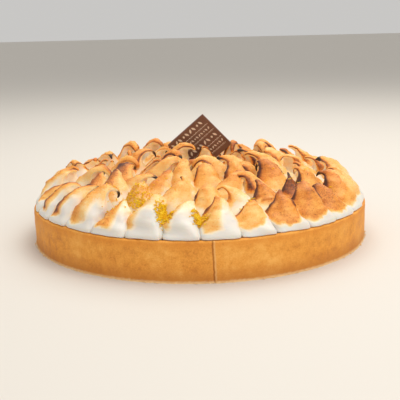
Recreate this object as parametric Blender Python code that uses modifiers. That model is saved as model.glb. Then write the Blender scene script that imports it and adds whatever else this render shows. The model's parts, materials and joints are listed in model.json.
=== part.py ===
"""Lemon meringue tart: a straight-sided shortcrust case, its lemon filling, a topping of
pulled and torched meringue peaks with lemon zest, and a square chocolate plaque.

Metres, +Z up. The origin is the centre of the underside, and -Y is the front.
"""

import math
import random
from typing import NamedTuple

import bmesh
import bpy
from mathutils import Matrix, Vector
from mathutils.bvhtree import BVHTree

MM = 0.001
GAP = 0.3 * MM

# Pastry case
TART_RADIUS = 125 * MM
TART_HEIGHT = 27 * MM
WALL = 4.5 * MM
BASE = 4 * MM
INNER_RADIUS = TART_RADIUS - WALL
CORNER = 2 * MM
RIM_ROUND = 1.3 * MM
FOOT_FLARE = 0.6 * MM
FOOT_HEIGHT = 1.4 * MM
RIM_WAVE = 0.35 * MM
AROUND = 72
SEAM_ANGLE = math.radians(-86.5)
SEAM_TILT = math.radians(2.3)
SEAM_WIDTH = 0.9 * MM

# Lemon filling
FILLING_TOP = TART_HEIGHT - 1.6 * MM

# Meringue: a bed under rings of peaks, each ring as
# (radius, number of peaks, half width of a foot, height of a peak's centre line)
BED_RADIUS = 118.4 * MM
BED_EDGE = TART_HEIGHT + 2.5 * MM
BED_SHOULDER = 108 * MM
BED_TOP = TART_HEIGHT + 8 * MM
MERINGUE_BOTTOM = FILLING_TOP + GAP
PEAK_BOTTOM = MERINGUE_BOTTOM + 0.3 * MM
PEAK_RINGS = (
    (108.0 * MM, 31, 12.3 * MM, 22.5 * MM),
    (85.5 * MM, 23, 13.6 * MM, 27 * MM),
    (62.0 * MM, 16, 13.8 * MM, 28.5 * MM),
    (38.5 * MM, 10, 13.8 * MM, 28.5 * MM),
    (15.0 * MM, 4, 13.8 * MM, 27 * MM),
)
BACK_RISE = 0.22
FIRST_PEAK_ANGLE = math.radians(-95.5)
PEAK_LEAN = math.radians(42)
PEAK_HOOK = math.radians(95)
HOOK_START = 0.5
SWIRL = math.radians(22)
TIP_RADIUS = 1.5 * MM
FOOT_TOP = 0.4
WEDGE_REACH = 80 * MM
WALL_CLEARANCE = 0.4 * MM
PEAK_SIDES = 8
OUTER_LEVELS = (0.0, 0.14, 0.36, 0.56, 0.74, 0.89)
INNER_LEVELS = (0.2, 0.42, 0.6, 0.76, 0.9)
SEED = 7

# Lemon zest: clusters as (angle in degrees, radius, spread, number of shreds)
ZEST_CLUSTERS = (
    (-101.5, 111 * MM, 5 * MM, 5),
    (-89.9, 112 * MM, 4 * MM, 5),
    (-112.0, 96 * MM, 6 * MM, 3),
    (-72.0, 100 * MM, 5 * MM, 2),
    (-120.0, 70 * MM, 10 * MM, 1),
    (-30.0, 80 * MM, 30 * MM, 2),
)
ZEST_LENGTH = 5.5 * MM
ZEST_WIDTH = 1.3 * MM
ZEST_SINK = 0.2 * MM

# Chocolate plaque, standing on one corner
PLAQUE_LONG = 40.8 * MM
PLAQUE_SHORT = 36.6 * MM
PLAQUE_THICK = 2.2 * MM
PLAQUE_EDGE = 0.4 * MM
PLAQUE_CENTRE = Vector((1.2, 66.0, 56.6)) * MM
PLAQUE_TURN = math.radians(42)
PLAQUE_LEAN = math.radians(14)

# Colours as linear RGB, with roughness
CRUST_LOOK = ((0.72, 0.33, 0.09), 0.75)
FILLING_LOOK = ((0.85, 0.55, 0.03), 0.3)
MERINGUE_LOOK = ((0.85, 0.66, 0.42), 0.5)
CHOCOLATE_LOOK = ((0.12, 0.045, 0.025), 0.35)


class Peak(NamedTuple):
    """One pulled peak of meringue: its place, its size and the way it leans and curls."""

    x: float
    y: float
    outward: float
    lean_angle: float
    twist: float
    half_width: float
    length: float
    lean: float
    hook: float
    fullness: float
    taper: float


def clear_scene():
    for obj in list(bpy.data.objects):
        bpy.data.objects.remove(obj)


def new_collection(name, hidden=False):
    collection = bpy.data.collections.new(name)
    collection.hide_render = hidden
    bpy.context.scene.collection.children.link(collection)
    return collection


def add_object(name, mesh, collection):
    obj = bpy.data.objects.new(name, mesh)
    collection.objects.link(obj)
    return obj


def hide_helper(obj):
    obj.hide_render = True
    obj.display_type = "WIRE"


def give_look(obj, look):
    colour, roughness = look
    material = bpy.data.materials.new(obj.name)
    material.use_nodes = True
    shader = material.node_tree.nodes["Principled BSDF"]
    shader.inputs["Base Color"].default_value = (*colour, 1)
    shader.inputs["Roughness"].default_value = roughness
    obj.data.materials.clear()
    obj.data.materials.append(material)


def shade(mesh, angle):
    mesh.shade_smooth()
    mesh.set_sharp_from_angle(angle=math.radians(angle))


def apply_modifiers(obj):
    """The object's evaluated mesh in place of its own, with no modifier left."""
    graph = bpy.context.evaluated_depsgraph_get()
    mesh = bpy.data.meshes.new_from_object(obj.evaluated_get(graph))
    obj.modifiers.clear()
    obj.data = mesh


def turned(name, profile, collection):
    """A profile of (radius, height) points, turned round the Z axis."""
    mesh = bpy.data.meshes.new(name)
    points = [(radius, 0, height) for radius, height in profile]
    mesh.from_pydata(points, [(i, i + 1) for i in range(len(points) - 1)], [])
    obj = add_object(name, mesh, collection)
    screw = obj.modifiers.new("turn", "SCREW")
    screw.steps = AROUND
    screw.render_steps = AROUND
    screw.use_merge_vertices = True
    screw.merge_threshold = 0.00005
    apply_modifiers(obj)
    return obj


def corner_arc(radius, height, bend, start, end):
    """Three profile points on an arc of radius bend, from start to end in degrees."""
    turns = [math.radians(start + (end - start) * share) for share in (0, 0.5, 1)]
    return [(radius + bend * math.cos(turn), height + bend * math.sin(turn)) for turn in turns]


def rim_wave(angle):
    """How far the hand-trimmed rim rises or dips at an angle."""
    return RIM_WAVE * (0.6 * math.sin(5 * angle + 1) + 0.4 * math.sin(11 * angle + 2.2))


def make_crust(collection, cutters):
    rim = TART_HEIGHT - RIM_ROUND
    profile = [(0, BASE), (INNER_RADIUS - CORNER, BASE), (INNER_RADIUS, BASE + CORNER)]
    profile += corner_arc(INNER_RADIUS + RIM_ROUND, rim, RIM_ROUND, 180, 90)
    profile += corner_arc(TART_RADIUS - RIM_ROUND, rim, RIM_ROUND, 90, 0)
    profile += [
        (TART_RADIUS, FOOT_HEIGHT),
        (TART_RADIUS + FOOT_FLARE, FOOT_HEIGHT / 2),
        (TART_RADIUS + FOOT_FLARE, 0),
        (0, 0),
    ]
    crust = turned("crust", profile[::-1], collection)
    for vertex in crust.data.vertices:
        if vertex.co.z > rim - GAP:
            vertex.co.z += rim_wave(math.atan2(vertex.co.y, vertex.co.x))
    groove = crust.modifiers.new("seam", "BOOLEAN")
    groove.operation = "DIFFERENCE"
    groove.object = make_seam_cutter(cutters)
    apply_modifiers(crust)
    shade(crust.data, 40)
    give_look(crust, CRUST_LOOK)


def make_seam_cutter(cutters):
    """A thin bar on edge, which leaves the line where the strip of dough meets itself."""
    mesh = bpy.data.meshes.new("seam_cutter")
    bar = bmesh.new()
    bmesh.ops.create_cube(bar, size=1)
    bar.transform(Matrix.Diagonal((SEAM_WIDTH, SEAM_WIDTH, 2 * TART_HEIGHT, 1)))
    bar.transform(Matrix.Rotation(math.radians(45), 4, "Z"))
    bar.to_mesh(mesh)
    bar.free()
    cutter = add_object("seam_cutter", mesh, cutters)
    reach = TART_RADIUS + 0.1 * SEAM_WIDTH
    x = reach * math.cos(SEAM_ANGLE)
    y = reach * math.sin(SEAM_ANGLE)
    cutter.location = (x, y, TART_HEIGHT / 2)
    cutter.rotation_euler = (0, SEAM_TILT, 0)
    hide_helper(cutter)
    return cutter


def make_filling(collection):
    edge = INNER_RADIUS - GAP
    bottom = BASE + GAP
    profile = [
        (0, FILLING_TOP),
        (edge, FILLING_TOP),
        (edge, bottom + CORNER),
        (edge - CORNER, bottom),
        (0, bottom),
    ]
    filling = turned("lemon_filling", profile, collection)
    shade(filling.data, 40)
    give_look(filling, FILLING_LOOK)


def smooth_step(value):
    value = min(max(value, 0.0), 1.0)
    return value * value * (3 - 2 * value)


def bend_at(lean, hook, share):
    """How far a peak's centre line has turned from upright at a share of its length."""
    return lean * share**0.7 + hook * smooth_step((share - HOOK_START) / (1 - HOOK_START))


def climb(lean, hook):
    """The greatest height of a curled centre line, as a share of its length."""
    steps = 24
    height = top = 0.0
    for i in range(steps):
        height += math.cos(bend_at(lean, hook, (i + 0.5) / steps)) / steps
        top = max(top, height)
    return top


def plan_peaks():
    """The peaks of meringue, ring by ring from the rim inwards.

    Only the rim ring is even, and it stands higher at the back.
    """
    draw = random.Random(SEED)
    peaks = []
    for ring, (radius, count, half_width, height) in enumerate(PEAK_RINGS):
        loose = min(ring, 1)
        for i in range(count):
            pitch = 2 * math.pi / count
            angle = FIRST_PEAK_ANGLE + pitch * (i + 0.5 * (ring % 2))
            angle += loose * draw.uniform(-0.12, 0.12) * pitch
            reach = radius + loose * draw.uniform(-1.6, 1.6) * MM
            yaw = draw.uniform(-0.4, 0.4) + loose * draw.uniform(-1.0, 0.6)
            lean = PEAK_LEAN * draw.uniform(0.5, 1.2)
            hook = PEAK_HOOK * draw.uniform(0.2, 1.4)
            tall = height * draw.uniform(0.82, 1.12)
            tall *= 1 + (1 - loose) * BACK_RISE * smooth_step((math.sin(angle) + 0.2) / 0.6)
            peak = Peak(
                x=reach * math.cos(angle),
                y=reach * math.sin(angle),
                outward=angle,
                lean_angle=angle + math.pi - SWIRL - yaw,
                twist=draw.uniform(-0.7, 0.7),
                half_width=half_width * draw.uniform(0.98, 1.03),
                length=tall / climb(lean, hook),
                lean=lean,
                hook=hook,
                fullness=1.5 - 0.2 * loose,
                taper=draw.uniform(1.3, 2.5) + 0.2 * loose,
            )
            peaks.append(peak)
    return peaks


def spine(peak, t):
    """The point at share t along a peak's curled centre line, with its two cross axes."""
    steps = 24
    point = Vector((peak.x, peak.y, PEAK_BOTTOM))
    for i in range(steps + 1):
        share = t * (i + 0.5) / steps if i < steps else t
        bend = bend_at(peak.lean, peak.hook, share)
        yaw = peak.lean_angle + peak.twist * share * share
        ahead = Vector((math.cos(yaw), math.sin(yaw), 0))
        if i < steps:
            tangent = ahead * math.sin(bend) + Vector((0, 0, math.cos(bend)))
            point += tangent * (peak.length * t / steps)
    inner = ahead * math.cos(bend) - Vector((0, 0, math.sin(bend)))
    side = Vector((-ahead.y, ahead.x, 0))
    return point, inner, side


def peak_section(peak, t, sides):
    """The outline of a peak at share t: a squared foot, and a curved leaf towards the tip."""
    centre, inner, side = spine(peak, t)
    above = smooth_step(t / FOOT_TOP)
    leaf = smooth_step((t - 0.35) / 0.4)
    foot = 0.95 + 0.05 * smooth_step(t / 0.1)
    swell = math.cos(math.pi / 2 * t**peak.fullness) ** peak.taper
    size = TIP_RADIUS + (peak.half_width - TIP_RADIUS) * foot * swell
    inner_depth = size * (1 - 0.72 * leaf)
    outer_depth = size * (1 - 0.3 * leaf)
    power = 4.5 - 2.5 * above
    turn = (peak.outward + math.pi - peak.lean_angle) * (1 - above)
    wedge = (1 - above) / max(math.hypot(peak.x, peak.y), WEDGE_REACH)
    points = []
    for i in range(sides):
        angle = 2 * math.pi * i / sides
        square = (abs(math.cos(angle)) ** power + abs(math.sin(angle)) ** power) ** (-1 / power)
        forward = square * math.cos(angle + turn)
        sideways = square * math.sin(angle + turn)
        depth = inner_depth if forward > 0 else outer_depth
        width = size * (1 - wedge * forward * depth)
        point = centre + inner * (forward * depth) + side * (sideways * width)
        points.append(inside_wall(point))
    return points


def inside_wall(point):
    """The point, drawn in where it would touch the pastry wall."""
    limit = INNER_RADIUS - WALL_CLEARANCE
    reach = math.hypot(point.x, point.y)
    if reach > limit and point.z < TART_HEIGHT + 3 * MM:
        return Vector((point.x * limit / reach, point.y * limit / reach, point.z))
    return point


def loft(name, rings, tip, collection):
    """A closed mesh through rings of points, flat at the first, with a tip or a flat end."""
    mesh = bpy.data.meshes.new(name)
    made = bmesh.new()
    rows = [[made.verts.new(point) for point in ring] for ring in rings]
    sides = len(rows[0])
    for low, high in zip(rows, rows[1:]):
        for i in range(sides):
            j = (i + 1) % sides
            made.faces.new((low[i], low[j], high[j], high[i]))
    made.faces.new(rows[0][::-1])
    if tip is None:
        made.faces.new(rows[-1])
    else:
        top = made.verts.new(tip)
        for i in range(sides):
            made.faces.new((rows[-1][i], rows[-1][(i + 1) % sides], top))
    bmesh.ops.triangulate(made, faces=made.faces)
    made.to_mesh(mesh)
    made.free()
    return add_object(name, mesh, collection)


def make_peak(index, peak, collection):
    levels = OUTER_LEVELS if index < PEAK_RINGS[0][1] else INNER_LEVELS
    rings = [peak_section(peak, t, PEAK_SIDES) for t in levels]
    loft(f"peak_{index}", rings, spine(peak, 1.0)[0], collection)


def make_bed(collection):
    """The low dome of meringue that the peaks rise from."""
    profile = [
        (0, BED_TOP),
        (BED_SHOULDER, BED_TOP),
        (BED_RADIUS, BED_EDGE),
        (BED_RADIUS, MERINGUE_BOTTOM),
        (0, MERINGUE_BOTTOM),
    ]
    return turned("meringue", profile, collection)


def join(obj, others):
    """One Boolean union of obj with a collection, applied, with the joined objects removed."""
    union = obj.modifiers.new("join", "BOOLEAN")
    union.operation = "UNION"
    union.operand_type = "COLLECTION"
    union.collection = others
    union.solver = "MANIFOLD"
    apply_modifiers(obj)
    for other in list(others.objects):
        bpy.data.objects.remove(other)
    bpy.data.collections.remove(others)


def cut(obj, cutter):
    difference = obj.modifiers.new("cut", "BOOLEAN")
    difference.operation = "DIFFERENCE"
    difference.object = cutter
    difference.solver = "MANIFOLD"
    apply_modifiers(obj)


def keep_body(obj):
    """The object's largest shell: a sealed hollow is filled, and loose scraps go."""
    whole = bmesh.new()
    whole.from_mesh(obj.data)
    unseen = set(whole.faces)
    shells = []
    while unseen:
        shell = [unseen.pop()]
        for face in shell:
            for edge in face.edges:
                for other in edge.link_faces:
                    if other in unseen:
                        unseen.remove(other)
                        shell.append(other)
        shells.append(shell)
    shells.sort(key=len)
    for shell in shells[:-1]:
        bmesh.ops.delete(whole, geom=shell, context="FACES")
    whole.to_mesh(obj.data)
    whole.free()


def zest_places(draw):
    """Where the zest has fallen, as points in plan, cluster by cluster."""
    for degrees, radius, spread, shreds in ZEST_CLUSTERS:
        angle = math.radians(degrees)
        for _ in range(shreds):
            x = radius * math.cos(angle) + draw.gauss(0, spread / 2)
            y = radius * math.sin(angle) + draw.gauss(0, spread / 2)
            yield x, y


def make_shred(name, point, normal, turn, curl, collection):
    """A short bent shred of lemon peel, lying half sunk on the surface at a point."""
    side = normal.cross(Vector((math.cos(turn), math.sin(turn), 0))).normalized()
    ahead = side.cross(normal).normalized()
    rings = []
    for share in (-0.5, 0.0, 0.5):
        width = ZEST_WIDTH * (1 - 1.6 * share * share)
        centre = point + ahead * (share * ZEST_LENGTH) + side * (curl * share * share)
        centre += normal * (ZEST_SINK - 2 * ZEST_SINK * abs(share))
        rings.append(
            [
                centre + side * (width / 2 * across) + normal * (width / 2 * up)
                for across, up in ((1, 0), (0, 1), (-1, 0), (0, -1))
            ]
        )
    loft(name, rings, None, collection)


def scatter_zest(meringue, collection):
    """Zest shreds on the meringue, each where a drop from above lands on it."""
    draw = random.Random(SEED)
    graph = bpy.context.evaluated_depsgraph_get()
    surface = BVHTree.FromObject(meringue, graph)
    for index, (x, y) in enumerate(zest_places(draw)):
        start = Vector((x, y, 4 * TART_HEIGHT))
        point, normal, _, _ = surface.ray_cast(start, Vector((0, 0, -1)))
        turn = draw.uniform(0, 2 * math.pi)
        curl = draw.uniform(-4, 4) * MM
        if point is not None and normal.z > 0.2:
            make_shred(f"shred_{index}", point, normal, turn, curl, collection)


def plaque_box(name, margin, collection):
    """The plaque's slab in its place, larger by margin all round."""
    mesh = bpy.data.meshes.new(name)
    slab = bmesh.new()
    bmesh.ops.create_cube(slab, size=1)
    size = [side + 2 * margin for side in (PLAQUE_LONG, PLAQUE_THICK, PLAQUE_SHORT)]
    slab.transform(Matrix.Diagonal((*size, 1)))
    slab.to_mesh(mesh)
    slab.free()
    box = add_object(name, mesh, collection)
    turned_slab = Matrix.Rotation(PLAQUE_LEAN, 4, "X") @ Matrix.Rotation(-PLAQUE_TURN, 4, "Y")
    box.matrix_world = Matrix.Translation(PLAQUE_CENTRE) @ turned_slab
    return box


def make_plaque(collection):
    plaque = plaque_box("chocolate_plaque", 0, collection)
    edge = plaque.modifiers.new("edge", "BEVEL")
    edge.width = PLAQUE_EDGE
    edge.segments = 1
    give_look(plaque, CHOCOLATE_LOOK)


def make_meringue(collection, cutters):
    meringue = make_bed(collection)
    peaks = new_collection("peaks")
    for index, peak in enumerate(plan_peaks()):
        make_peak(index, peak, peaks)
    join(meringue, peaks)
    shreds = new_collection("shreds")
    scatter_zest(meringue, shreds)
    join(meringue, shreds)
    slot = plaque_box("plaque_slot", GAP, cutters)
    hide_helper(slot)
    cut(meringue, slot)
    keep_body(meringue)
    shade(meringue.data, 50)
    give_look(meringue, MERINGUE_LOOK)


def main():
    clear_scene()
    tart = new_collection("lemon_meringue_tart")
    cutters = new_collection("cutters", hidden=True)
    make_crust(tart, cutters)
    make_filling(tart)
    make_meringue(tart, cutters)
    make_plaque(tart)


main()
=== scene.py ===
"""The looks of a lemon meringue tart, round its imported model.

Metres, +Z up, -Y the front. The meringue's peaks are planned and curled as in the model,
here with more sections, crisp edges, thin curled tips and the marks of the torch.
"""

import json
import math
import random
from typing import NamedTuple

import bmesh
import bpy
from mathutils import Matrix, Vector, noise
from mathutils.bvhtree import BVHTree
from mathutils.kdtree import KDTree

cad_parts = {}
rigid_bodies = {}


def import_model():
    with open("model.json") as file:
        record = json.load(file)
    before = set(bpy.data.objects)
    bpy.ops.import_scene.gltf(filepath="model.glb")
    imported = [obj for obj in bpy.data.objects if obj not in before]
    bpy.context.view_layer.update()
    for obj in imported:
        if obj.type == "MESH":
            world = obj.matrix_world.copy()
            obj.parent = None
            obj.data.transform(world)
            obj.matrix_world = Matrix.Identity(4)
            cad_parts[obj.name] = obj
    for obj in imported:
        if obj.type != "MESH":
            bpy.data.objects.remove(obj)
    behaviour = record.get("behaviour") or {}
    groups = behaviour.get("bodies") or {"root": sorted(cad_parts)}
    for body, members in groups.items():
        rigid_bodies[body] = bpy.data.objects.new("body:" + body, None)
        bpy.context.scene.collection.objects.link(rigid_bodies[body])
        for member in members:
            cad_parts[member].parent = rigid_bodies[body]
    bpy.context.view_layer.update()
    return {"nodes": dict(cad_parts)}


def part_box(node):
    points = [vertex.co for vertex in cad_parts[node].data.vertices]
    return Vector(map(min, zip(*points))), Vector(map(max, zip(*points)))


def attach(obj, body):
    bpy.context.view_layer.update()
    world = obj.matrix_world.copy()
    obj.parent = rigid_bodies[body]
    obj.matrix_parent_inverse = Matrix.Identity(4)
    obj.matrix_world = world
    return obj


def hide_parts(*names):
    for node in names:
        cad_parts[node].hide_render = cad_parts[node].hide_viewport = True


MM = 0.001
GAP = 0.3 * MM
SEED = 7
noise.seed_set(SEED)

# Pastry case
FOOT_FLARE = 0.6 * MM
FOOT_HEIGHT = 1.6 * MM
WALL = 4.5 * MM
RIM_ROUND = 1.3 * MM
RIM_WAVE = 0.35 * MM
SEAM_ANGLE = math.radians(-86.5)
SEAM_TILT = math.radians(2.3)
SEAM_WIDTH = 0.5 * MM
SEAM_DEPTH = 0.4 * MM
SEAM_STEP = 0.5 * MM
SEAM_FADE = 14 * MM
FRINGE_HEIGHT = 2.2 * MM
# Relief of the side, as (size of a bump, its depth)
SIDE_RELIEF = ((14 * MM, 0.35 * MM), (3 * MM, 0.16 * MM))
CRUMB_SIZE = 1.1 * MM
CRUMB_DEPTH = 0.55 * MM
CRUMB_SINK = 0.25 * MM
CRUST_AROUND = 560
SEAM_AROUND = 48
SEAM_SPAN = math.radians(2.4)
SIDE_ROWS = 34
ROUND_STEP = 15
CRUMBS = 260

# Meringue: a bed under rings of peaks, each ring as
# (radius, number of peaks, half width of a foot, height of a peak's centre line)
BED_RADIUS = 118.4 * MM
BED_EDGE_RISE = 2.5 * MM
BED_SHOULDER = 108 * MM
BED_RISE = 8 * MM
PEAK_RINGS = (
    (108.0 * MM, 31, 12.3 * MM, 22.5 * MM),
    (85.5 * MM, 23, 13.6 * MM, 27 * MM),
    (62.0 * MM, 16, 13.8 * MM, 28.5 * MM),
    (38.5 * MM, 10, 13.8 * MM, 28.5 * MM),
    (15.0 * MM, 4, 13.8 * MM, 27 * MM),
)
OUTER_RING = 100 * MM
BED_AROUND = 120
BACK_RISE = 0.22
FIRST_PEAK_ANGLE = math.radians(-95.5)
PEAK_LEAN = math.radians(42)
PEAK_HOOK = math.radians(95)
HOOK_START = 0.5
TIP_CURL = math.radians(50)
TIP_START = 0.86
SWIRL = math.radians(22)
TIP_RADIUS = 1.5 * MM
TIP_END = 0.92
FOOT_TOP = 0.4
WEDGE_REACH = 80 * MM
WALL_CLEARANCE = 0.4 * MM
OVERHANG = 3.7 * MM
RIM_CLEARANCE = 0.03 * MM
FOOT_ROUND = 0.6 * MM
PEAK_SIDES = 34
FOOT_LEVELS = 8
FOOT_STEP = 0.014
PEAK_LEVELS = 34
LAST_LEVEL = 0.985
SPINE_STEPS = 24
FOLD_SIZE = 10 * MM
FOLD_RISE = 0.9 * MM
WOBBLE_SIZE = 9 * MM
WOBBLE = 1.3 * MM

# The flame: the angle in plan where it spared the rim ring, the angles from there to where
# it marked the sides most, how wide each stretch is, and how high over the rim the foot of
# a peak stayed white
SPARED_ANGLE = math.radians(-101)
SPARED_SPAN = math.radians(22)
FRONT_SPAN = math.radians(48)
RIGHT_OFF = math.radians(51)
RIGHT_SPAN = math.radians(27)
LEFT_OFF = math.radians(-50)
LEFT_SPAN = math.radians(28)
WHITE_FOOT = 3.5 * MM
WHITE_FOOT_INSIDE = 11 * MM

# Lemon zest: clusters as (angle in degrees, radius, spread, large shreds, small bits)
ZEST_CLUSTERS = (
    (-101.5, 111 * MM, 5 * MM, 5, 560),
    (-89.9, 112 * MM, 4 * MM, 5, 480),
    (-112.0, 96 * MM, 6 * MM, 3, 260),
    (-72.0, 100 * MM, 5 * MM, 2, 30),
    (-120.0, 70 * MM, 10 * MM, 1, 25),
    (-30.0, 80 * MM, 30 * MM, 2, 25),
    (-118.0, 92 * MM, 15 * MM, 0, 260),
)
ZEST_HEAP = 0.7 * MM
ZEST_LENGTH = 5.5 * MM
ZEST_WIDTH = 1.3 * MM
ZEST_CURL = 4 * MM
ZEST_LEAST_LEVEL = 0.2
ZEST_STEPS = 6
SHRED_SIZES = (0.6, 0.8)
BIT_SIZES = (0.15, 0.5)

# Chocolate plaque, standing on one corner
PLAQUE_LONG = 40.8 * MM
PLAQUE_SHORT = 36.6 * MM
PLAQUE_THICK = 2.2 * MM
PLAQUE_CENTRE = Vector((1.2, 66.0, 56.6)) * MM
PLAQUE_TURN = math.radians(42)
PLAQUE_LEAN = math.radians(14)
PRINT_RISE = 0.12 * MM
PRINT_MARGIN = 1.0 * MM
# Rows of the print, as (height on the plaque, size of a leaf, shift along the row)
PRINT_ROWS = (
    (14.2 * MM, 4.4 * MM, 0.0),
    (9.9 * MM, 1.5 * MM, 0.4),
    (6.4 * MM, 2.9 * MM, 0.2),
    (2.9 * MM, 1.5 * MM, 0.7),
    (-1.6 * MM, 4.4 * MM, 0.5),
    (-6.0 * MM, 1.5 * MM, 0.1),
    (-9.5 * MM, 2.9 * MM, 0.6),
    (-13.0 * MM, 1.5 * MM, 0.3),
)
LEAF_STEPS = 7

# Camera fitted to the photograph, whose frame is 400 x 400
CAMERA_RISE = math.radians(13.305)
CAMERA_ROLL = math.radians(-1.349)
CAMERA_TARGET = Vector((0.33, 0, 23.34)) * MM
CAMERA_DISTANCE = 562.5 * MM
FOCAL_PIXELS = 725.7
FRAME_PIXELS = 400
SENSOR = 36

# Studio: soft lamps a metre off, as (name, azimuth, elevation, size, power, colour),
# where azimuth 0 is over the camera
LAMPS = (
    ("key", 45, 52, 0.7, 3.2, (1.0, 0.98, 0.95)),
    ("fill", -60, 40, 1.0, 0.5, (0.98, 0.98, 1.0)),
    ("front", 20, 20, 1.4, 1.7, (1.0, 0.98, 0.95)),
    ("back", 160, 65, 0.9, 6.8, (1.0, 0.97, 0.92)),
)
WORLD_COLOUR = (1.0, 0.985, 0.96)
WORLD_STRENGTH = 0.58
FLOOR_HALF = 12.0
FLOOR_COLOUR = (0.70, 0.66, 0.60)

# Sockets of a Mix node set to colour
MIX_FACTOR = 0
MIX_FIRST = 6
MIX_SECOND = 7
MIX_RESULT = 2

# The model's own sizes
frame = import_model()
CRUST_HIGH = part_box("crust")[1]
CRUST_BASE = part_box("lemon_filling")[0].z - GAP
MERINGUE_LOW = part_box("meringue")[0].z
CRUST_RADIUS = CRUST_HIGH.x - FOOT_FLARE
RIM_HEIGHT = CRUST_HIGH.z - RIM_WAVE * 0.95


class Peak(NamedTuple):
    """One pulled peak of meringue: its place, its size and the way it leans and curls."""

    x: float
    y: float
    outward: float
    lean_angle: float
    twist: float
    half_width: float
    length: float
    lean: float
    hook: float
    fullness: float
    taper: float


class Torch(NamedTuple):
    """How the flame marked one peak."""

    slant: float
    reach: float
    depth: float
    core: float
    scorch: float
    burn: float
    curl: float
    grain: float
    lip: float
    blunt: float


def smooth_step(value):
    value = min(max(value, 0.0), 1.0)
    return value * value * (3 - 2 * value)


def add_object(name, mesh):
    obj = bpy.data.objects.new(name, mesh)
    bpy.context.scene.collection.objects.link(obj)
    return obj


def shade(mesh, angle):
    mesh.shade_smooth()
    mesh.set_sharp_from_angle(angle=math.radians(angle))


def apply_modifiers(obj):
    """The object's evaluated mesh in place of its own, with no modifier left."""
    graph = bpy.context.evaluated_depsgraph_get()
    mesh = bpy.data.meshes.new_from_object(obj.evaluated_get(graph))
    obj.modifiers.clear()
    obj.data = mesh


def ridden(obj, material):
    """The finished piece, in its material and carried by the tart's one body."""
    obj.data.materials.clear()
    obj.data.materials.append(material)
    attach(obj, "root")
    return obj


# Materials


def new_material(name):
    material = bpy.data.materials.new(name)
    material.use_nodes = True
    return material, material.node_tree, material.node_tree.nodes["Principled BSDF"]


def add_node(tree, kind, sockets=None, **settings):
    """A node with its settings, and its sockets given a value or another node's output."""
    made = tree.nodes.new(kind)
    for name, value in settings.items():
        setattr(made, name, value)
    for name, value in (sockets or {}).items():
        if isinstance(value, bpy.types.NodeSocket):
            tree.links.new(value, made.inputs[name])
        else:
            made.inputs[name].default_value = value
    return made


def noise_field(tree, size, detail=2.0, roughness=0.5):
    """Noise whose spots are about this size, as a value from 0 to 1."""
    place = add_node(tree, "ShaderNodeTexCoord").outputs["Object"]
    sockets = {"Vector": place, "Scale": 1 / size, "Detail": detail, "Roughness": roughness}
    return add_node(tree, "ShaderNodeTexNoise", sockets).outputs["Fac"]


def flat_noise(tree, size):
    """Noise whose spots are this wide and a fifth as high, like the folds of a pulled peak."""
    place = add_node(tree, "ShaderNodeTexCoord").outputs["Object"]
    flat = add_node(tree, "ShaderNodeMapping", {"Vector": place, "Scale": (1, 1, 5)}).outputs[0]
    sockets = {"Vector": flat, "Scale": 1 / size, "Detail": 3.0}
    return add_node(tree, "ShaderNodeTexNoise", sockets).outputs["Fac"]


def maths(tree, operation, first, second, clamp=False):
    sockets = {0: first, 1: second}
    return add_node(
        tree, "ShaderNodeMath", sockets, operation=operation, use_clamp=clamp
    ).outputs[0]


def times(tree, field, factor):
    return maths(tree, "MULTIPLY", field, factor)


def plus(tree, first, second):
    return maths(tree, "ADD", first, second)


def about_zero(tree, field, factor):
    """A field that runs from 0 to 1, moved to run about 0 and scaled."""
    return times(tree, maths(tree, "SUBTRACT", field, 0.5), factor)


def spread(tree, value, low, high, to_low=0.0, to_high=1.0):
    """The value, mapped smoothly from low..high to to_low..to_high."""
    sockets = {
        "Value": value,
        "From Min": low,
        "From Max": high,
        "To Min": to_low,
        "To Max": to_high,
    }
    made = add_node(tree, "ShaderNodeMapRange", sockets, interpolation_type="SMOOTHSTEP")
    return made.outputs["Result"]


def ramp(tree, value, stops):
    """Colours along a value, as (position, linear RGB)."""
    made = add_node(tree, "ShaderNodeValToRGB", {"Fac": value})
    elements = made.color_ramp.elements
    while len(elements) < len(stops):
        elements.new(0.5)
    for element, (position, colour) in zip(elements, stops):
        element.position = position
        element.color = (*colour, 1)
    return made.outputs["Color"]


def blend(tree, share, field, colour):
    """The field's colours, with a share of one colour in them."""
    sockets = {MIX_FACTOR: share, MIX_FIRST: field, MIX_SECOND: (*colour, 1)}
    return add_node(tree, "ShaderNodeMix", sockets, data_type="RGBA").outputs[MIX_RESULT]


def bump(tree, shader, heights):
    """Bumps laid over each other, as (height field, distance, strength)."""
    normal = None
    for height, distance, strength in heights:
        sockets = {"Height": height, "Distance": distance, "Strength": strength}
        if normal:
            sockets["Normal"] = normal
        normal = add_node(tree, "ShaderNodeBump", sockets).outputs["Normal"]
    tree.links.new(normal, shader.inputs["Normal"])


def attribute(tree, name):
    made = add_node(tree, "ShaderNodeAttribute", attribute_name=name)
    return made.outputs["Fac"]


def height_share(tree, low, high):
    """0 at height low and 1 at height high."""
    place = add_node(tree, "ShaderNodeTexCoord").outputs["Object"]
    z = add_node(tree, "ShaderNodeSeparateXYZ", {0: place}).outputs["Z"]
    return spread(tree, z, low, high)


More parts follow.
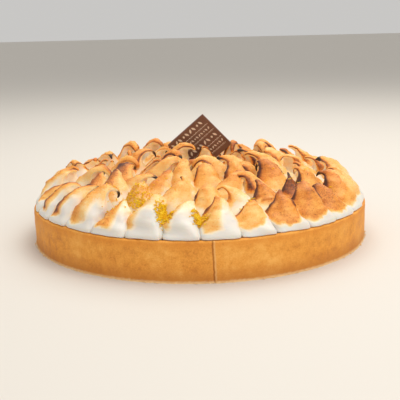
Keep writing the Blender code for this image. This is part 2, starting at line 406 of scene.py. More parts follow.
def crust_material():
    """Golden, darker under the rim, with painted shade toward the foot, a pale crumbly edge at
    the foot and a painted highlight beside the seam.
    """
    material, tree, shader = new_material("baked_shortcrust")
    broad = noise_field(tree, 22 * MM, 3)
    patches = noise_field(tree, 5 * MM, 4, 0.6)
    fine = noise_field(tree, 0.9 * MM, 3, 0.7)
    specks = noise_field(tree, 1.1 * MM, 1)
    tone = plus(tree, times(tree, broad, 0.34), times(tree, patches, 0.36))
    tone = plus(tree, tone, times(tree, fine, 0.30))
    stops = (
        (0.385, (0.62, 0.210, 0.024)),
        (0.46, (0.76, 0.297, 0.038)),
        (0.53, (0.84, 0.355, 0.054)),
        (0.62, (0.92, 0.455, 0.100)),
    )
    colour = ramp(tree, tone, stops)
    band = maths(
        tree,
        "SUBTRACT",
        height_share(tree, RIM_HEIGHT - 7 * MM, RIM_HEIGHT - 1.5 * MM),
        height_share(tree, RIM_HEIGHT - 1.3 * MM, RIM_HEIGHT - 0.2 * MM),
    )
    # Painted shade: darker toward the foot over the lowest 13 mm, where the pale floor would
    # otherwise light the side.
    low = maths(tree, "SUBTRACT", 1.0, height_share(tree, 0.0, 13 * MM))
    dark_specks = spread(tree, specks, 0.66, 0.76)
    for field, share, tint in (
        (band, 0.5, (0.74, 0.25, 0.024)),
        # painted shade toward the foot
        (low, 0.68, (0.50, 0.17, 0.024)),
        (attribute(tree, "seam"), 0.7, (0.36, 0.12, 0.02)),
        # pale crumbly foot, with the painted highlight beside the seam
        (attribute(tree, "fringe_and_seam_highlight"), 0.75, (0.90, 0.66, 0.34)),
        (dark_specks, 0.3, (0.40, 0.13, 0.018)),
    ):
        colour = blend(tree, times(tree, field, share), colour, tint)
    tree.links.new(colour, shader.inputs["Base Color"])
    tree.links.new(spread(tree, patches, 0.3, 0.7, 0.55, 0.78), shader.inputs["Roughness"])
    shader.inputs["Specular IOR Level"].default_value = 0.35
    bump(tree, shader, ((patches, 0.35 * MM, 0.35), (fine, 0.12 * MM, 0.5)))
    return material


def filling_material():
    material, tree, shader = new_material("lemon_cream")
    soft = noise_field(tree, 6 * MM, 3)
    fine = noise_field(tree, 1.2 * MM, 2)
    colour = ramp(tree, soft, ((0.3, (0.62, 0.38, 0.02)), (0.7, (0.80, 0.55, 0.05))))
    tree.links.new(colour, shader.inputs["Base Color"])
    tree.links.new(spread(tree, fine, 0.3, 0.7, 0.2, 0.38), shader.inputs["Roughness"])
    bump(tree, shader, ((soft, 0.3 * MM, 0.3), (fine, 0.08 * MM, 0.3)))
    return material


def meringue_material():
    """White where the flame missed, then cream, gold and brown, with burnt tips."""
    material, tree, shader = new_material("torched_meringue")
    toast_and_bounce_light = attribute(tree, "toast_and_bounce_light")
    burn = attribute(tree, "burn")
    grain = attribute(tree, "grain")
    soft = noise_field(tree, 7 * MM, 3)
    fine = noise_field(tree, 0.8 * MM, 3, 0.65)
    pores = noise_field(tree, 0.35 * MM, 2)
    spots = spread(tree, noise_field(tree, 1.2 * MM, 1), 0.64, 0.74)
    folds = about_zero(tree, flat_noise(tree, 7 * MM), 1.0)
    speck = plus(tree, about_zero(tree, fine, 0.45), times(tree, spots, 0.22))
    speck = plus(tree, speck, times(tree, about_zero(tree, pores, 0.9), grain))
    speck = plus(tree, speck, times(tree, folds, 0.2))
    change = plus(tree, about_zero(tree, soft, 0.30), speck)
    change = times(tree, change, spread(tree, toast_and_bounce_light, 0.02, 0.4))
    tone = maths(tree, "ADD", toast_and_bounce_light, change, clamp=True)
    # The cream at 0.10 is lighter than the white at 0.00, so shaded hollows held near 0.10 take
    # it as painted warm bounce light.
    stops = (
        (0.00, (0.690, 0.680, 0.665)),
        (0.10, (0.900, 0.780, 0.600)),
        (0.26, (0.900, 0.580, 0.215)),
        (0.44, (0.880, 0.420, 0.080)),
        (0.60, (0.720, 0.250, 0.030)),
        (0.76, (0.450, 0.130, 0.020)),
        (0.90, (0.200, 0.055, 0.014)),
        (1.00, (0.080, 0.024, 0.012)),
    )
    colour = ramp(tree, tone, stops)
    char = spread(tree, plus(tree, burn, times(tree, speck, 0.8)), 0.25, 0.8)
    colour = blend(tree, char, colour, (0.030, 0.017, 0.012))
    tree.links.new(colour, shader.inputs["Base Color"])
    tree.links.new(spread(tree, tone, 0.0, 0.8, 0.30, 0.55), shader.inputs["Roughness"])
    shader.inputs["Subsurface Weight"].default_value = 0.6
    shader.inputs["Subsurface Radius"].default_value = (1.0, 0.72, 0.5)
    shader.inputs["Subsurface Scale"].default_value = 5 * MM
    shader.inputs["Specular IOR Level"].default_value = 0.4
    skin = times(tree, fine, spread(tree, toast_and_bounce_light, 0.1, 0.7, 0.25, 1.0))
    bump(tree, shader, ((soft, 0.5 * MM, 0.25), (folds, 0.5 * MM, 0.3), (skin, 0.14 * MM, 0.45)))
    return material


def zest_material():
    material, tree, shader = new_material("lemon_zest")
    soft = noise_field(tree, 4 * MM, 2)
    fine = noise_field(tree, 0.5 * MM, 2)
    stops = ((0.3, (0.80, 0.41, 0.002)), (0.5, (0.88, 0.52, 0.005)), (0.72, (0.92, 0.66, 0.04)))
    tree.links.new(ramp(tree, soft, stops), shader.inputs["Base Color"])
    tree.links.new(spread(tree, fine, 0.3, 0.7, 0.35, 0.6), shader.inputs["Roughness"])
    shader.inputs["Specular IOR Level"].default_value = 0.25
    bump(tree, shader, ((fine, 0.12 * MM, 0.5),))
    return material


def chocolate_material():
    material, tree, shader = new_material("chocolate")
    soft = noise_field(tree, 9 * MM, 3)
    fine = noise_field(tree, 0.7 * MM, 3)
    colour = ramp(tree, soft, ((0.3, (0.150, 0.066, 0.044)), (0.7, (0.200, 0.094, 0.064))))
    tree.links.new(colour, shader.inputs["Base Color"])
    tree.links.new(spread(tree, fine, 0.3, 0.7, 0.38, 0.5), shader.inputs["Roughness"])
    bump(tree, shader, ((soft, 0.15 * MM, 0.2), (fine, 0.04 * MM, 0.3)))
    return material


def print_material():
    material, tree, shader = new_material("cream_print")
    fine = noise_field(tree, 0.5 * MM, 2)
    colour = ramp(tree, fine, ((0.3, (0.70, 0.58, 0.44)), (0.7, (0.82, 0.71, 0.57))))
    tree.links.new(colour, shader.inputs["Base Color"])
    tree.links.new(spread(tree, fine, 0.3, 0.7, 0.4, 0.55), shader.inputs["Roughness"])
    bump(tree, shader, ((fine, 0.03 * MM, 0.3),))
    return material


# Pastry case


def rim_wave(angle):
    """How far the hand-trimmed rim rises or dips at an angle."""
    outward = Vector((math.cos(angle), math.sin(angle), 3))
    rough = 0.3 * MM * noise.noise(outward * 22) + 0.2 * MM * noise.noise(outward * 60)
    return RIM_WAVE * (0.6 * math.sin(5 * angle + 1) + 0.4 * math.sin(11 * angle + 2.2)) + rough


def rim_arc(centre, start):
    """A quarter turn of the rounded rim, as (radius, height)."""
    points = []
    for turn in range(start, start + 91, ROUND_STEP):
        across = RIM_ROUND * math.cos(math.radians(turn))
        up = RIM_ROUND * math.sin(math.radians(turn))
        points.append((centre + across, RIM_HEIGHT - RIM_ROUND + up))
    return points


def crust_profile():
    """(radius, height) round the pastry's section, from the outer foot over the rim."""
    inner = CRUST_RADIUS - WALL
    points = [(CRUST_RADIUS + FOOT_FLARE, 0.0)]
    for row in range(1, SIDE_ROWS):
        share = (row / SIDE_ROWS) ** 1.3
        height = share * (RIM_HEIGHT - RIM_ROUND)
        flare = FOOT_FLARE * (1 - smooth_step(height / FOOT_HEIGHT))
        points.append((CRUST_RADIUS + flare, height))
    points += rim_arc(CRUST_RADIUS - RIM_ROUND, 0)
    points.append((CRUST_RADIUS - WALL / 2, RIM_HEIGHT + 0.05 * MM))
    points += rim_arc(inner + RIM_ROUND, 90)
    points += [(inner, RIM_HEIGHT - 4 * MM), (inner, CRUST_BASE), (inner / 2, CRUST_BASE)]
    return points


def crust_angles():
    """Angles round the case, closer together at the seam."""
    close = [
        SEAM_ANGLE - SEAM_SPAN + 2 * SEAM_SPAN * i / SEAM_AROUND for i in range(SEAM_AROUND + 1)
    ]
    start = SEAM_ANGLE + SEAM_SPAN
    rest = 2 * math.pi - 2 * SEAM_SPAN
    far = [start + rest * i / CRUST_AROUND for i in range(1, CRUST_AROUND)]
    return close + far


def seam_shape(angle, height):
    """(move out, how dark, how much painted highlight) next to the overlap of the dough strip.
    """
    lean = math.tan(SEAM_TILT) * (RIM_HEIGHT / 2 - height)
    wander = 1.2 * MM * noise.noise(Vector((0, 0, height / (6 * MM))))
    wander += 0.35 * MM * noise.noise(Vector((3, 0, height / (1.6 * MM))))
    away = (angle - SEAM_ANGLE + math.pi) % (2 * math.pi) - math.pi
    across = away * CRUST_RADIUS - lean - wander
    groove = math.exp(-((across / SEAM_WIDTH) ** 2))
    step = math.exp(-across / SEAM_FADE) if across > 0 else 0.0
    step *= smooth_step(across / (1.2 * SEAM_WIDTH))
    # Painted highlight: the raised edge of the upper strip, just past the groove, is made pale
    # as if it caught the light.
    pale = math.exp(-(((across - 2.2 * SEAM_WIDTH) / SEAM_WIDTH) ** 2))
    return SEAM_STEP * step - SEAM_DEPTH * groove, groove, pale


def foot_fringe(point):
    """How crumbly and pale the case is at a point near its foot, from 0 to 1."""
    rough = 0.6 * MM * noise.noise(point * 700)
    return 1 - smooth_step((point.z + rough) / FRINGE_HEIGHT)


def make_crust():
    """The case with its uneven rim, crumbly foot, pressed side and overlapped seam."""
    profile = crust_profile()
    outside = SIDE_ROWS + len(range(0, 91, ROUND_STEP))
    angles = crust_angles()
    points = []
    seams = []
    fringes_and_seam_highlights = []
    for angle in angles:
        outward = Vector((math.cos(angle), math.sin(angle), 0))
        for row, (reach, height) in enumerate(profile):
            point = outward * reach + Vector((0, 0, height))
            seam = fringe_and_seam_highlight = 0.0
            if height > RIM_HEIGHT - 2 * RIM_ROUND and row < len(profile) - 2:
                point.z += rim_wave(angle)
            if row < outside:
                push = sum(depth * noise.noise(point / size) for size, depth in SIDE_RELIEF)
                moved, seam, pale = seam_shape(angle, height)
                fringe_and_seam_highlight = foot_fringe(point)
                crumb = noise.noise(point / CRUMB_SIZE + Vector((9, 0, 0)))
                push += fringe_and_seam_highlight * (CRUMB_DEPTH * crumb - CRUMB_SINK)
                # The painted highlight beside the seam goes into the pale crumbly colour of the
                # foot.
                fringe_and_seam_highlight = max(fringe_and_seam_highlight, 0.4 * pale)
                point += outward * (push + moved)
            points.append(point)
            seams.append(seam)
            fringes_and_seam_highlights.append(fringe_and_seam_highlight)
    rows = len(profile)
    faces = []
    for i in range(len(angles)):
        j = (i + 1) % len(angles)
        for row in range(rows - 1):
            faces.append(
                (i * rows + row, j * rows + row, j * rows + row + 1, i * rows + row + 1)
            )
    points += [Vector((0, 0, 0)), Vector((0, 0, CRUST_BASE))]
    seams += [0.0, 0.0]
    fringes_and_seam_highlights += [0.0, 0.0]
    for i in range(len(angles)):
        j = (i + 1) % len(angles)
        faces.append((j * rows, i * rows, len(points) - 2))
        faces.append((i * rows + rows - 1, j * rows + rows - 1, len(points) - 1))
    mesh = bpy.data.meshes.new("pastry_case")
    mesh.from_pydata(points, [], faces)
    set_values(mesh, "seam", seams)
    set_values(mesh, "fringe_and_seam_highlight", fringes_and_seam_highlights)
    shade(mesh, 60)
    crust = ridden(add_object("pastry_case", mesh), crust_material())
    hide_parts("crust")


def make_crumbs():
    """Small crumbs that cling round the foot of the case."""
    draw = random.Random(SEED + 2)
    crumbs = bmesh.new()
    for _ in range(CRUMBS):
        angle = draw.uniform(0, 2 * math.pi)
        size = draw.uniform(0.25, 0.7) ** 1.4 * MM
        reach = CRUST_HIGH.x + draw.uniform(-0.5, 0.6) * MM
        centre = Vector((reach * math.cos(angle), reach * math.sin(angle), 0.75 * size))
        made = bmesh.ops.create_icosphere(crumbs, subdivisions=2, radius=size)
        for vertex in made["verts"]:
            rough = 1 + 0.5 * noise.noise(vertex.co / (0.6 * size) + centre / MM)
            vertex.co = centre + Vector((vertex.co.x, vertex.co.y, 0.75 * vertex.co.z)) * rough
            vertex.co.z = max(vertex.co.z, 0.0)
    mesh = bpy.data.meshes.new("pastry_crumbs")
    crumbs.to_mesh(mesh)
    crumbs.free()
    set_values(mesh, "seam", [0.0] * len(mesh.vertices))
    set_values(mesh, "fringe_and_seam_highlight", [1.0] * len(mesh.vertices))
    shade(mesh, 60)
    ridden(add_object("pastry_crumbs", mesh), bpy.data.materials["baked_shortcrust"])


def set_values(mesh, name, values):
    layer = mesh.attributes.get(name) or mesh.attributes.new(name, "FLOAT", "POINT")
    layer.data.foreach_set("value", values)


# Meringue


def plan_peaks():
    """The peaks of meringue, ring by ring from the rim inwards; only the rim ring is even."""
    draw = random.Random(SEED)
    peaks = []
    for ring, (radius, count, half_width, height) in enumerate(PEAK_RINGS):
        loose = min(ring, 1)
        for i in range(count):
            pitch = 2 * math.pi / count
            angle = FIRST_PEAK_ANGLE + pitch * (i + 0.5 * (ring % 2))
            angle += loose * draw.uniform(-0.12, 0.12) * pitch
            reach = radius + loose * draw.uniform(-1.6, 1.6) * MM
            yaw = draw.uniform(-0.4, 0.4) + loose * draw.uniform(-1.0, 0.6)
            lean = PEAK_LEAN * draw.uniform(0.5, 1.2)
            hook = PEAK_HOOK * draw.uniform(0.2, 1.4)
            tall = height * draw.uniform(0.82, 1.12)
            tall *= 1 + (1 - loose) * BACK_RISE * smooth_step((math.sin(angle) + 0.2) / 0.6)
            peak = Peak(
                x=reach * math.cos(angle),
                y=reach * math.sin(angle),
                outward=angle,
                lean_angle=angle + math.pi - SWIRL - yaw,
                twist=draw.uniform(-0.7, 0.7),
                half_width=half_width * draw.uniform(0.98, 1.03),
                length=tall / climb(lean, hook),
                lean=lean,
                hook=hook,
                fullness=1.5 - 0.2 * loose,
                taper=draw.uniform(1.3, 2.5) + 0.2 * loose,
            )
            peaks.append(peak)
    return peaks


def bend_at(lean, hook, share):
    """How far a peak's centre line has turned from upright at a share of its length."""
    return lean * share**0.7 + hook * smooth_step((share - HOOK_START) / (1 - HOOK_START))


def climb(lean, hook):
    """The greatest height of a curled centre line, as a share of its length."""
    height = top = 0.0
    for i in range(SPINE_STEPS):
        height += math.cos(bend_at(lean, hook, (i + 0.5) / SPINE_STEPS)) / SPINE_STEPS
        top = max(top, height)
    return top


def near(off, centre, span):
    """1 where a value is at the centre of a stretch, falling to 0 beyond its span."""
    return math.exp(-(((off - centre) / span) ** 2))


def plan_torch(peaks):
    """The flame's marks: deep on the right front, only edges on a stretch of the front."""
    draw = random.Random(SEED + 1)
    marks = []
    for index, peak in enumerate(peaks):
        outer = index < PEAK_RINGS[0][1]
        off = math.remainder(peak.outward - SPARED_ANGLE, 2 * math.pi)
        spared = math.exp(-((off / SPARED_SPAN) ** 4)) if outer else 0.0
        front = near(off, 0, FRONT_SPAN)
        right = near(off, RIGHT_OFF, RIGHT_SPAN) if outer else 0.0
        left = near(off, LEFT_OFF, LEFT_SPAN) * (1.0 if outer else 0.6)
        behind = outer and math.sin(peak.outward) > 0.2
        reach = 0.45 + 0.15 * math.cos(peak.outward) + draw.uniform(-0.25, 0.3) * (1 - spared)
        marks.append(
            Torch(
                slant=0.15 + 0.6 * front + 0.5 * left,
                reach=reach * (1 - spared) - 0.75 * spared - 0.35 * left + 0.25 * right,
                depth=draw.uniform(0.08, 0.31) + 0.25 * right + 0.15 * left + 0.05 * outer,
                core=0.04 + 0.5 * left,
                scorch=draw.uniform(0.0, 1.0) ** 3 * (0.1 if outer else 0.4),
                burn=draw.uniform(0.0, 1.15) ** (1.4 if behind else 2.0),
                curl=draw.uniform(0.1, 1.3),
                grain=draw.uniform(-1.5, 1.0),
                lip=draw.uniform(0.2, 1.0),
                blunt=draw.uniform(0.8, 1.3),
            )
        )
    return marks


def spine(peak, mark, t):
    """The point at share t along a peak's curled centre line, with its two cross axes."""
    point = Vector((peak.x, peak.y, MERINGUE_LOW + GAP))
    for i in range(SPINE_STEPS + 1):
        share = t * (i + 0.5) / SPINE_STEPS if i < SPINE_STEPS else t
        bend = bend_at(peak.lean, peak.hook, share)
        bend += mark.curl * TIP_CURL * smooth_step((share - TIP_START) / (1 - TIP_START))
        yaw = peak.lean_angle + peak.twist * share * share
        ahead = Vector((math.cos(yaw), math.sin(yaw), 0))
        if i < SPINE_STEPS:
            tangent = ahead * math.sin(bend) + Vector((0, 0, math.cos(bend)))
            point += tangent * (peak.length * t / SPINE_STEPS)
    inner = ahead * math.cos(bend) - Vector((0, 0, math.sin(bend)))
    side = Vector((-ahead.y, ahead.x, 0))
    return point, inner, side


def peak_size(peak, mark, t):
    """Half the width of a peak at share t."""
    foot = 0.99 + 0.01 * smooth_step(t / 0.1)
    swell = math.cos(math.pi / 2 * t**peak.fullness) ** peak.taper
    tip = TIP_RADIUS * mark.blunt * (1 - 0.4 * min(mark.burn, 1))
    size = tip + (peak.half_width - tip) * foot * swell
    size *= math.sqrt(1 - (max(t - TIP_END, 0) / (1 - TIP_END)) ** 2 * 0.9)
    return size * (1 + 0.05 * near(t, 0.24, 0.12))


def peak_section(peak, mark, t):
    """A section of a peak at share t: its points, each with how far forward and sideways.

    The foot is squared. Above it the section is a leaf with crisp edges, bulging behind
    and hollow on the side that the tip curls over.
    """
    centre, inner, side = spine(peak, mark, t)
    above = smooth_step(t / FOOT_TOP)
    leaf = smooth_step((t - 0.35) / 0.4) * (1 - 0.75 * smooth_step((t - 0.72) / 0.25))
    crisp = smooth_step((t - 0.15) / 0.4) * (1 - 0.6 * smooth_step((t - 0.72) / 0.25))
    size = peak_size(peak, mark, t)
    lip = 0.09 * mark.lip * (near(t, 0.24, 0.07) - near(t, 0.12, 0.05))
    power = 6 - 4 * above
    turn = (peak.outward + math.pi - peak.lean_angle) * (1 - above)
    wedge = (1 - above) / max(math.hypot(peak.x, peak.y), WEDGE_REACH)
    points = []
    for i in range(PEAK_SIDES):
        angle = 2 * math.pi * i / PEAK_SIDES
        cos, sin = math.cos(angle), math.sin(angle)
        square = (abs(cos) ** power + abs(sin) ** power) ** (-1 / power)
        forward = square * math.cos(angle + turn)
        sideways = square * math.sin(angle + turn)
        rounded = abs(forward) ** (0.75 * crisp)
        if forward > 0:
            depth = size * (rounded * (1 - 0.52 * leaf) - 0.12 * leaf * abs(forward))
        else:
            depth = size * rounded * (1 - 0.25 * leaf)
        groove = 1 + 0.03 * crisp * math.sin(5 * angle + 9 * t + 40 * peak.x / MM)
        width = size * groove * (1 - wedge * forward * depth)
        bulge = 1 + lip * max(-forward, 0)
        point = centre + inner * (forward * depth * groove * bulge) + side * (sideways * width)
        points.append((inside_wall(point), forward, sideways))
    return points


def fold_at(point):
    """How much of a fold's crest runs through a point, from 0 to 1."""
    flow = Vector((point.x, point.y, 1.9 * point.z)) / FOLD_SIZE
    return (1 - min(6 * abs(noise.noise(flow)), 1)) ** 2


def inside_wall(point):
    """The point, drawn in at the pastry wall, and swelling a little over the rim above it."""
    limit = CRUST_RADIUS - WALL - WALL_CLEARANCE
    reach = math.hypot(point.x, point.y)
    above = point.z - RIM_HEIGHT - rim_wave(math.atan2(point.y, point.x)) - RIM_CLEARANCE
    if reach > limit and above < 0:
        return Vector((point.x * limit / reach, point.y * limit / reach, point.z))
    below = 1 - min(max(above, 0) / FOOT_ROUND, 1)
    full = math.sqrt(1 - below * below) * (1 - smooth_step((above - 2 * MM) / (6 * MM)))
    swollen = 1 + OVERHANG * full * smooth_step((reach - limit) / (7 * MM) + 1) / reach
    return Vector((point.x * swollen, point.y * swollen, point.z))


def torch_marks(peak, mark, t, forward, sideways, height):
    """(toast, burn, grain) at one point of a peak; the first never falls below a light cream,
    partly the meringue's own cream and partly painted warm bounce light in its shade.
    """
    above = smooth_step((t - 0.1) / 0.3)
    facing = -0.8 * forward + mark.slant * sideways
    met = smooth_step((facing + mark.reach) / 0.55)
    outer = math.hypot(peak.x, peak.y) > OUTER_RING
    start = (WHITE_FOOT if outer else WHITE_FOOT_INSIDE) + 4 * MM * sideways * sideways
    start += 1.8 * MM * noise.noise(Vector((peak.x, peak.y, forward)) * 60)
    past = height - RIM_HEIGHT - start
    rise = smooth_step(past / (2.6 * MM))
    deeper = 1.0 if outer else 0.4 + 0.7 * smooth_step((t - 0.15) / 0.5)
    toast_and_bounce_light = mark.depth * deeper * met * rise
    toast_and_bounce_light += mark.core * smooth_step((facing - 0.4) / 0.6) * rise
    toast_and_bounce_light += 0.18 * mark.lip * met * rise * (1 - smooth_step((past - 2 * MM) / (4 * MM)))
    edge = smooth_step((abs(sideways) - 0.74) / 0.22) * smooth_step((t - 0.25) / 0.3)
    toast_and_bounce_light += (0.54 + 0.6 * mark.scorch) * edge * (0.3 + 0.7 * met)
    toast_and_bounce_light += (mark.scorch * above + 0.05 * smooth_step((t - 0.35) / 0.35)) * met
    toast_and_bounce_light += 0.2 * smooth_step((t - 0.68) / 0.25) * (0.4 + 0.6 * met)
    # Painted light: a least cream value on every surface, higher on the inner rings and up the
    # peaks, partly the meringue's own cream and partly painted warm bounce light that keeps the
    # shaded hollows from looking grey.
    toast_and_bounce_light = max(toast_and_bounce_light, (0.03 if outer else 0.1) + 0.08 * smooth_step((t - 0.35) / 0.3))
    burn = mark.burn * smooth_step((t - 0.8) / 0.16)
    burn += 0.3 * mark.burn * edge * smooth_step((t - 0.74) / 0.15)
    grain = max(mark.grain, 0.0) * met * above
    return min(toast_and_bounce_light, 1.0), min(burn, 1.0), grain


def make_peak(index, peak, mark, marks_seen):
    """A closed peak, with its torch marks added to marks_seen as (point, values)."""
    levels = [FOOT_STEP * i for i in range(FOOT_LEVELS)]
    rest = PEAK_LEVELS - FOOT_LEVELS
    first = FOOT_STEP * FOOT_LEVELS
    levels += [first + (LAST_LEVEL - first) * (i / rest) ** 0.9 for i in range(rest + 1)]
    points = []
    for t in levels:
        centre = spine(peak, mark, t)[0]
        rise = smooth_step((t - 0.12) / 0.3) * (1 - smooth_step((t - 0.8) / 0.15))
        for point, forward, sideways in peak_section(peak, mark, t):
            wobble = noise.noise_vector(point / WOBBLE_SIZE) * WOBBLE
            fold = fold_at(point)
            outwards = (point - centre).normalized()
            point = point + (wobble + outwards * (FOLD_RISE * fold)) * rise
            points.append(point)
            toast_and_bounce_light, burn, grain = torch_marks(peak, mark, t, forward, sideways, point.z)
            toast_and_bounce_light += 0.1 * fold * rise * smooth_step((toast_and_bounce_light - 0.08) / 0.1)
            marks_seen.append((point, (toast_and_bounce_light, burn, grain)))
    tip = spine(peak, mark, 1.0)[0]
    points.append(tip)
    marks_seen.append((tip, torch_marks(peak, mark, 1.0, 0, 0, tip.z)))
    faces = [tuple(range(PEAK_SIDES))[::-1]]
    for level in range(PEAK_LEVELS):
        low = level * PEAK_SIDES
        for i in range(PEAK_SIDES):
            j = (i + 1) % PEAK_SIDES
            faces.append((low + i, low + j, low + PEAK_SIDES + j, low + PEAK_SIDES + i))
    last = PEAK_LEVELS * PEAK_SIDES
    for i in range(PEAK_SIDES):
        faces.append((last + i, last + (i + 1) % PEAK_SIDES, len(points) - 1))
    mesh = bpy.data.meshes.new(f"peak_{index}")
    mesh.from_pydata(points, [], faces)
    return bpy.data.objects.new(f"peak_{index}", mesh)


def make_bed(marks_seen):
    """The low dome of meringue that the peaks rise from."""
    top = RIM_HEIGHT + BED_RISE
    profile = [
        (BED_SHOULDER * 0.5, top),
        (BED_SHOULDER, top),
        (BED_RADIUS, RIM_HEIGHT + BED_EDGE_RISE),
        (BED_RADIUS, MERINGUE_LOW),
    ]
    points = [Vector((0, 0, top)), Vector((0, 0, MERINGUE_LOW))]
    for i in range(BED_AROUND):
        angle = 2 * math.pi * i / BED_AROUND
        for reach, height in profile:
            points.append(Vector((reach * math.cos(angle), reach * math.sin(angle), height)))
    marks_seen += [(point, (0.1, 0.0, 0.0)) for point in points]
    rows = len(profile)
    faces = []
    for i in range(BED_AROUND):
        here = 2 + i * rows
        there = 2 + (i + 1) % BED_AROUND * rows
        faces.append((0, here, there))
        faces.append((1, there + rows - 1, here + rows - 1))
        for row in range(rows - 1):
            faces.append((here + row, here + row + 1, there + row + 1, there + row))
    mesh = bpy.data.meshes.new("meringue_peaks")
    mesh.from_pydata(points, [], faces)
    return add_object("meringue_peaks", mesh)


def join(obj, others):
    """One Boolean union of obj with a collection, applied, with the joined objects removed."""
    union = obj.modifiers.new("join", "BOOLEAN")
    union.operation = "UNION"
    union.operand_type = "COLLECTION"
    union.collection = others
    union.solver = "MANIFOLD"
    apply_modifiers(obj)
    for other in list(others.objects):
        bpy.data.objects.remove(other)
    bpy.data.collections.remove(others)


def cut_slot(obj):
    """Room for the plaque, a gap wider than it on each side."""
    slab = bmesh.new()
    bmesh.ops.create_cube(slab, size=1)
    size = [side + 2 * GAP for side in (PLAQUE_LONG, PLAQUE_THICK, PLAQUE_SHORT)]
    slab.transform(plaque_place() @ Matrix.Diagonal((*size, 1)))
    mesh = bpy.data.meshes.new("plaque_slot")
    slab.to_mesh(mesh)
    slab.free()
    cutter = add_object("plaque_slot", mesh)
    difference = obj.modifiers.new("slot", "BOOLEAN")
    difference.operation = "DIFFERENCE"
    difference.object = cutter
    difference.solver = "MANIFOLD"
    apply_modifiers(obj)
    bpy.data.objects.remove(cutter)


def keep_body(obj):
    """The object's largest shell: a sealed hollow is filled, and loose scraps go."""
    whole = bmesh.new()
    whole.from_mesh(obj.data)
    unseen = set(whole.faces)
    shells = []
    while unseen:
        shell = [unseen.pop()]
        for face in shell:
            for edge in face.edges:
                for other in edge.link_faces:
                    if other in unseen:
                        unseen.remove(other)
                        shell.append(other)
        shells.append(shell)
    shells.sort(key=len)
    for shell in shells[:-1]:
        bmesh.ops.delete(whole, geom=shell, context="FACES")
    whole.to_mesh(obj.data)
    whole.free()


def mark_surface(mesh, marks_seen):
    """Each vertex of the joined meringue takes the marks of the nearest points of its peaks.

    The flame came from above, so crests that face up take more and undersides stay pale;
    undersides still keep up to a light cream, painted warm light in their shade.
    """
    tree = KDTree(len(marks_seen))
    for index, (point, _) in enumerate(marks_seen):
        tree.insert(point, index)
    tree.balance()
    values = ([], [], [])
    for vertex in mesh.vertices:
        nearest = tree.find_n(vertex.co, 3)
        weights = [1 / (distance + 0.05 * MM) for _, _, distance in nearest]
        for which, column in enumerate(values):
            total = sum(
                weight * marks_seen[index][1][which]
                for weight, (_, index, _) in zip(weights, nearest)
            )
            column.append(total / sum(weights))
        up = vertex.normal.z
        crest = smooth_step((vertex.co.z - RIM_HEIGHT - 15 * MM) / (8 * MM))
        shown = 0.25 + 0.75 * smooth_step((up + 0.45) / 0.4)
        toast_and_bounce_light = values[0][-1]
        fresh = 0.2 * crest * smooth_step((up - 0.1) / 0.5) * max(1 - 1.6 * toast_and_bounce_light, 0)
        # Painted light: undersides keep up to 0.13 rather than a quarter of their value, so
        # their shade stays light and warm.
        values[0][-1] = max(toast_and_bounce_light * shown, min(toast_and_bounce_light, 0.13)) + fresh
    for name, column in zip(("toast_and_bounce_light", "burn", "grain"), values):
        set_values(mesh, name, column)


def make_meringue():
    peaks = plan_peaks()
    marks_seen = []
    meringue = make_bed(marks_seen)
    others = bpy.data.collections.new("peaks")
    bpy.context.scene.collection.children.link(others)
    for index, (peak, mark) in enumerate(zip(peaks, plan_torch(peaks))):
        others.objects.link(make_peak(index, peak, mark, marks_seen))
    join(meringue, others)
    cut_slot(meringue)
    keep_body(meringue)
    mark_surface(meringue.data, marks_seen)
    shade(meringue.data, 48)
    ridden(meringue, meringue_material())
    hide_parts("meringue")
    return meringue


# Lemon zest


def zest_places(draw, small):
    """Where the zest has fallen, as points in plan, cluster by cluster."""
    for degrees, radius, spread_out, shreds, bits in ZEST_CLUSTERS:
        angle = math.radians(degrees)
        for _ in range(bits if small else shreds):
            x = radius * math.cos(angle) + draw.gauss(0, spread_out / 2)
            y = radius * math.sin(angle) + draw.gauss(0, spread_out / 2)
            yield x, y


def add_shred(points, faces, place, turn, length, width, curl):
    """A thin bent strip of peel with four-sided sections, lying on the surface."""
    point, normal = place
    side = normal.cross(Vector((math.cos(turn), math.sin(turn), 0))).normalized()
    ahead = side.cross(normal).normalized()
    first = len(points)
    for step in range(ZEST_STEPS + 1):
        share = step / ZEST_STEPS - 0.5
        wide = width * (1 - 2.6 * share * share)
        centre = point + ahead * (share * length) + side * (curl * share * share)
        centre += normal * (0.1 * width + 0.45 * width * math.sin(7 * share + 30 * turn))
        for across, up in ((1, 0), (0, 0.45), (-1, 0), (0, -0.45)):
            points.append(centre + side * (wide / 2 * across) + normal * (wide / 2 * up))
    for step in range(ZEST_STEPS):
        low = first + 4 * step
        for i in range(4):
            j = (i + 1) % 4
            faces.append((low + i, low + j, low + 4 + j, low + 4 + i))
    faces.append((first + 3, first + 2, first + 1, first))
    faces.append(tuple(first + 4 * ZEST_STEPS + i for i in range(4)))


def make_zest(meringue):
    """Large shreds where the model has them, and many small bits round them."""
    graph = bpy.context.evaluated_depsgraph_get()
    surface = BVHTree.FromObject(meringue, graph)
    points = []
    faces = []
    for small, (least, most) in ((False, SHRED_SIZES), (True, BIT_SIZES)):
        draw = random.Random(SEED)
        for x, y in zest_places(draw, small):
            start = Vector((x, y, 4 * RIM_HEIGHT))
            point, normal, _, _ = surface.ray_cast(start, Vector((0, 0, -1)))
            turn = draw.uniform(0, 2 * math.pi)
            bend = draw.uniform(-1, 1)
            lift = ZEST_HEAP * draw.random() ** 2 if small else 0
            if point is None or normal.z <= ZEST_LEAST_LEVEL:
                continue
            scale = least + (most - least) * (bend + 1) / 2
            place = (point + normal * lift, normal)
            width = ZEST_WIDTH * (0.4 + 0.6 * scale)
            curl = ZEST_CURL * bend * scale
            add_shred(points, faces, place, turn, ZEST_LENGTH * scale, width, curl)
    mesh = bpy.data.meshes.new("lemon_zest")
    mesh.from_pydata(points, [], faces)
    shade(mesh, 40)
    zest = ridden(add_object("lemon_zest", mesh), zest_material())
    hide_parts("meringue")


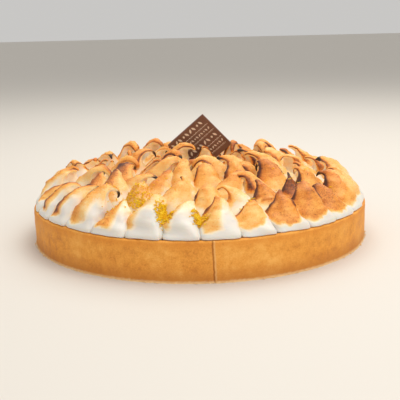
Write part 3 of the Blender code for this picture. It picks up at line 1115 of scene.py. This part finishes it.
# Chocolate plaque


def plaque_place():
    """The plaque's own axes: X along its long side, Y through it, Z along its short side."""
    lean = Matrix.Rotation(PLAQUE_LEAN, 4, "X")
    return Matrix.Translation(PLAQUE_CENTRE) @ lean @ Matrix.Rotation(-PLAQUE_TURN, 4, "Y")


def leaf_outline(length, width, turn, centre):
    """A pointed leaf in the plaque's plane, as points round it."""
    points = []
    for half in (1, -1):
        for step in range(LEAF_STEPS):
            share = step / LEAF_STEPS
            along = (share - 0.5) * length * half
            across = half * width / 2 * math.sin(math.pi * share)
            x = along * math.cos(turn) - across * math.sin(turn)
            z = along * math.sin(turn) + across * math.cos(turn)
            points.append((centre[0] + x, centre[1] + z))
    return points


def make_print():
    """Rows of leaves and dots across the front, large and small by turns."""
    place = plaque_place()
    front = -PLAQUE_THICK / 2
    outlines = []
    end = PLAQUE_LONG / 2 - PRINT_MARGIN
    for height, size, shift in PRINT_ROWS:
        pitch = 0.95 * size
        x = -end + size * (0.5 + shift)
        count = 0
        while x < end - size / 2:
            if count % 4 == 3:
                outlines.append(leaf_outline(0.42 * size, 0.5 * size, 0.0, (x, height)))
            else:
                turn = math.radians(62 if count % 2 else 118)
                outlines.append(leaf_outline(size, 0.4 * size, turn, (x, height)))
            x += pitch * (0.85 if count % 2 else 1.0)
            count += 1
    points = []
    faces = []
    for outline in outlines:
        first = len(points)
        sides = len(outline)
        for depth in (front + 0.05 * MM, front - PRINT_RISE):
            points += [place @ Vector((x, depth, z)) for x, z in outline]
        faces.append(tuple(range(first + sides, first + 2 * sides)))
        faces.append(tuple(range(first, first + sides))[::-1])
        for i in range(sides):
            j = (i + 1) % sides
            faces.append((first + i, first + j, first + sides + j, first + sides + i))
    mesh = bpy.data.meshes.new("plaque_print")
    mesh.from_pydata(points, [], faces)
    solid = bmesh.new()
    solid.from_mesh(mesh)
    bmesh.ops.recalc_face_normals(solid, faces=solid.faces)
    solid.to_mesh(mesh)
    solid.free()
    ridden(add_object("plaque_print", mesh), print_material())


# Studio


def make_floor():
    mesh = bpy.data.meshes.new("floor")
    signs = ((-1, -1), (1, -1), (1, 1), (-1, 1))
    corners = [(x * FLOOR_HALF, y * FLOOR_HALF, 0) for x, y in signs]
    mesh.from_pydata(corners, [], [(0, 1, 2, 3)])
    floor = add_object("floor", mesh)
    material, _, shader = new_material("floor")
    shader.inputs["Base Color"].default_value = (*FLOOR_COLOUR, 1)
    shader.inputs["Roughness"].default_value = 0.8
    mesh.materials.append(material)


def make_light(name, azimuth, elevation, size, power, colour):
    """A soft square lamp, turned to the tart."""
    around = math.radians(azimuth)
    up = math.radians(elevation)
    away = Vector(
        (math.sin(around) * math.cos(up), -math.cos(around) * math.cos(up), math.sin(up))
    )
    lamp = bpy.data.lights.new(name, "AREA")
    lamp.size = size
    lamp.energy = power
    lamp.color = colour
    light = bpy.data.objects.new(name, lamp)
    bpy.context.scene.collection.objects.link(light)
    light.location = away
    light.rotation_euler = away.to_track_quat("Z", "Y").to_euler()


def make_lights():
    for lamp in LAMPS:
        make_light(*lamp)
    world = bpy.data.worlds.new("studio")
    world.use_nodes = True
    background = world.node_tree.nodes["Background"]
    background.inputs["Color"].default_value = (*WORLD_COLOUR, 1)
    background.inputs["Strength"].default_value = WORLD_STRENGTH
    bpy.context.scene.world = world
    bpy.context.scene.view_settings.view_transform = "Standard"


def make_camera():
    camera = bpy.data.cameras.new("camera")
    camera.sensor_width = SENSOR
    camera.lens = FOCAL_PIXELS / FRAME_PIXELS * SENSOR
    obj = bpy.data.objects.new("camera", camera)
    bpy.context.scene.collection.objects.link(obj)
    back = Vector((0, -math.cos(CAMERA_RISE), math.sin(CAMERA_RISE)))
    level = Vector((1, 0, 0))
    right = level * math.cos(CAMERA_ROLL) + back.cross(level) * math.sin(CAMERA_ROLL)
    axes = Matrix((right, back.cross(right), back)).transposed()
    place = CAMERA_TARGET + back * CAMERA_DISTANCE
    obj.matrix_world = Matrix.Translation(place) @ axes.to_4x4()
    bpy.context.scene.camera = obj


make_crust()
make_crumbs()
meringue_piece = make_meringue()
make_zest(meringue_piece)
make_print()
for node, material, slot_name in (
    ("lemon_filling", filling_material(), "lemon_filling"),
    ("chocolate_plaque", chocolate_material(), "chocolate"),
):
    carried = frame["nodes"][node]
    carried.data.materials.clear()
    carried.data.materials.append(material)
make_floor()
make_lights()
make_camera()
